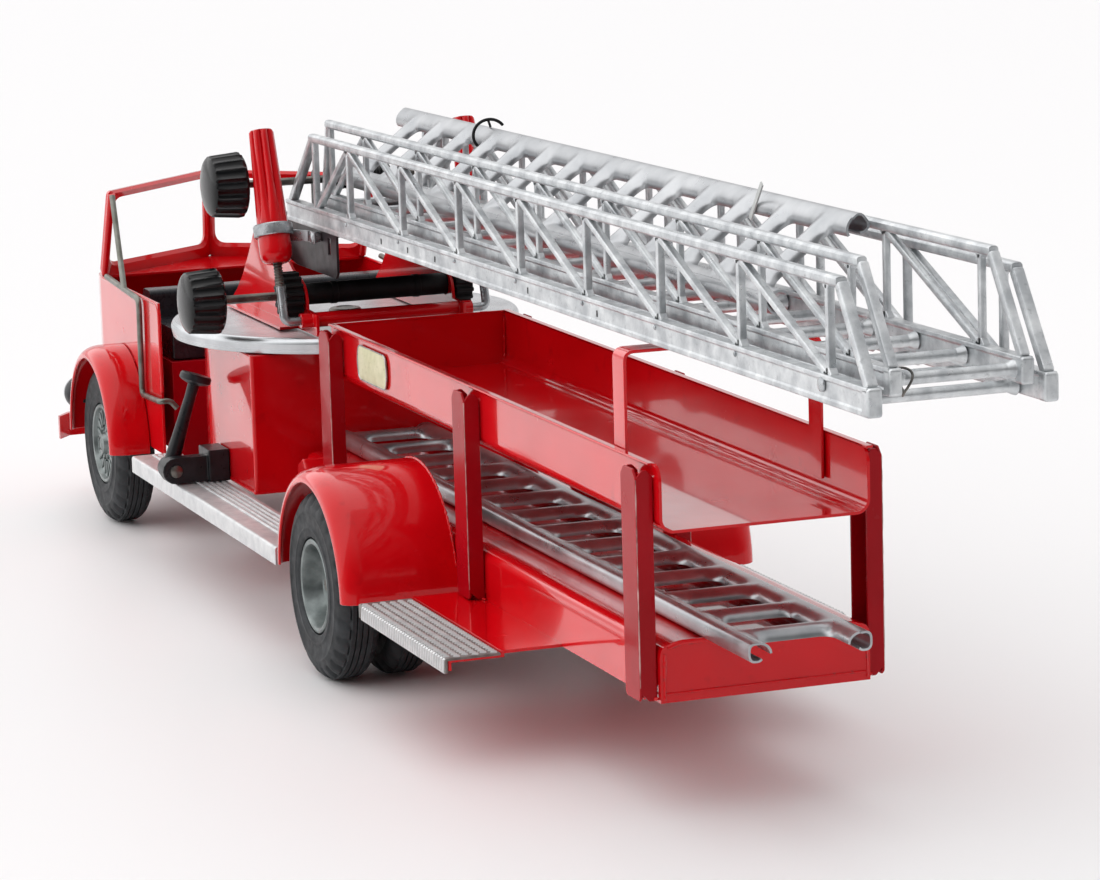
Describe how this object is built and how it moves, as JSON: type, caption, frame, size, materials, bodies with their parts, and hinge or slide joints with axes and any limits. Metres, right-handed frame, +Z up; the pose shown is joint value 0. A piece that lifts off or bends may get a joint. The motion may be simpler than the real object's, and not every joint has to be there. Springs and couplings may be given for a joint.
{
  "type": "toy fire engine",
  "caption": "Open-cab pressed-steel toy fire engine with a turntable aerial ladder that lifts and extends, ground ladders, dual rear wheels and swing-down jacks.",
  "frame": {"origin": "middle of the bottom of the bounding box, on the ground under the tyres", "axes": "+X towards the cab and the front bumper, +Y to the truck's left side, +Z up"},
  "size_m": [0.7362, 0.1536, 0.1783],
  "materials": {
    "red_enamel": "high-gloss baked enamel",
    "die_cast_zinc": "satin die-cast, mottled",
    "pressed_aluminium": "bright rolled and pressed",
    "tread_aluminium": "embossed satin",
    "turntable_aluminium": "spun, brushed",
    "zinc_steel": "zinc-plated wire and rod",
    "blued_steel": "dark blued steel",
    "black_plastic": "moulded, satin",
    "tyre_rubber": "dusty dark grey rubber",
    "galvanised_hub": "spun galvanised disc",
    "badge_foil": "pale foil label, blank"
  },
  "bodies": {
    "truck": {"chassis_frame": "blued_steel", "bed": "red_enamel", "upper_tray": "red_enamel", "ladder_rest": "red_enamel", "rear_fender_left": "red_enamel", "rear_fender_right": "red_enamel", "front_fender_left": "red_enamel", "front_fender_right": "red_enamel", "running_board_left": "tread_aluminium", "running_board_right": "tread_aluminium", "rear_step_tread_left": "tread_aluminium", "rear_step_tread_right": "tread_aluminium", "turntable_box": "red_enamel", "cab_body": "red_enamel", "cab_floor": "red_enamel", "bench_seat": "black_plastic", "grille": "pressed_aluminium", "windscreen_frame": "red_enamel", "grab_rail_left": "zinc_steel", "grab_rail_right": "zinc_steel", "front_bumper": "red_enamel", "headlamp_left": "zinc_steel", "headlamp_right": "zinc_steel", "jack_bracket_left": "black_plastic", "jack_bracket_right": "black_plastic", "turntable_bolt": "zinc_steel", "bed_ladder": "pressed_aluminium", "badge_plate": "badge_foil"},
    "rear_wheels": {"rear_axle": "zinc_steel", "rear_outer_tyre_left": "tyre_rubber", "rear_outer_tyre_right": "tyre_rubber", "rear_inner_tyre_left": "tyre_rubber", "rear_inner_tyre_right": "tyre_rubber", "rear_hub_left": "galvanised_hub", "rear_hub_right": "galvanised_hub"},
    "front_wheels": {"front_axle": "zinc_steel", "front_tyre_left": "tyre_rubber", "front_tyre_right": "tyre_rubber", "front_hub_left": "galvanised_hub", "front_hub_right": "galvanised_hub"},
    "steering": {"steering_wheel": "black_plastic"},
    "jack_left": {"jack_arm_left": "black_plastic"},
    "jack_right": {"jack_arm_right": "black_plastic"},
    "turntable": {"turntable_plate": "turntable_aluminium", "a_frame": "red_enamel", "ladder_pivot_pin": "zinc_steel"},
    "lift_drive": {"lift_shaft": "zinc_steel", "lift_knob": "black_plastic", "lift_pinion": "black_plastic"},
    "aerial": {"main_ladder": "die_cast_zinc", "ladder_yoke": "blued_steel"},
    "fly": {"fly_ladder": "die_cast_zinc", "stowed_ladder": "pressed_aluminium"},
    "winch": {"winch_shaft": "zinc_steel", "winch_knob": "black_plastic", "winch_drum": "black_plastic"},
    "lift_cylinders": {"lift_cylinder_left": "red_enamel", "lift_cylinder_right": "red_enamel"},
    "lift_rods": {"lift_rod_left": "zinc_steel", "lift_rod_right": "zinc_steel"}
  },
  "joints": [
    {"name": "rear_axle_roll", "type": "hinge", "parent": "truck", "child": "rear_wheels", "pos_m": [-0.01788, 0, 0.03175], "axis": [0, 1, 0], "continuous": true},
    {"name": "front_axle_roll", "type": "hinge", "parent": "truck", "child": "front_wheels", "pos_m": [0.28512, 0, 0.03175], "axis": [0, 1, 0], "continuous": true},
    {"name": "steering_turn", "type": "hinge", "parent": "truck", "child": "steering", "pos_m": [0.29412, 0.026, 0.077], "axis": [0.8192, 0, -0.5736], "continuous": true},
    {"name": "jack_swing_left", "type": "hinge", "parent": "truck", "child": "jack_left", "pos_m": [0.16312, 0.0718, 0.0423], "axis": [-1, 0, 0], "range_deg": [0, 160]},
    {"name": "jack_swing_right", "type": "hinge", "parent": "truck", "child": "jack_right", "pos_m": [0.16312, -0.0718, 0.0423], "axis": [1, 0, 0], "range_deg": [0, 160]},
    {"name": "turntable_turn", "type": "hinge", "parent": "truck", "child": "turntable", "pos_m": [0.16562, 0, 0.0955], "axis": [0, 0, 1], "continuous": true},
    {"name": "ladder_elevate", "type": "hinge", "parent": "turntable", "child": "aerial", "pos_m": [0.17212, 0, 0.128], "axis": [0, 1, 0], "range_deg": [0, 42]},
    {"name": "lift_knob_turn", "type": "hinge", "parent": "turntable", "child": "lift_drive", "pos_m": [0.12812, 0, 0.109], "axis": [0, 1, 0], "range_deg": [0, 504]},
    {"name": "lift_cylinder_swing", "type": "hinge", "parent": "aerial", "child": "lift_cylinders", "pos_m": [0.11112, 0, 0.132], "axis": [0, -1, 0], "range_deg": [0, 37.28]},
    {"name": "lift_rod_slide", "type": "slide", "parent": "lift_cylinders", "child": "lift_rods", "axis": [-0.2924, 0, -0.9563], "range_m": [0, 0.04267]},
    {"name": "fly_extend", "type": "slide", "parent": "aerial", "child": "fly", "axis": [-1, 0, 0.0073], "range_m": [0, 0.24]},
    {"name": "winch_knob_turn", "type": "hinge", "parent": "aerial", "child": "winch", "pos_m": [0.14048, 0, 0.14953], "axis": [0, 1, 0], "range_deg": [0, 1650.22]}
  ],
  "couplings": [
    {"joint": "lift_knob_turn", "follows": "ladder_elevate", "ratio": 12},
    {"joint": "lift_cylinder_swing", "follows": "ladder_elevate", "ratio": 0.88735},
    {"joint": "lift_rod_slide", "follows": "ladder_elevate", "m_per_rad": 0.058188},
    {"joint": "winch_knob_turn", "follows": "fly_extend", "rad_per_m": 120}
  ]
}
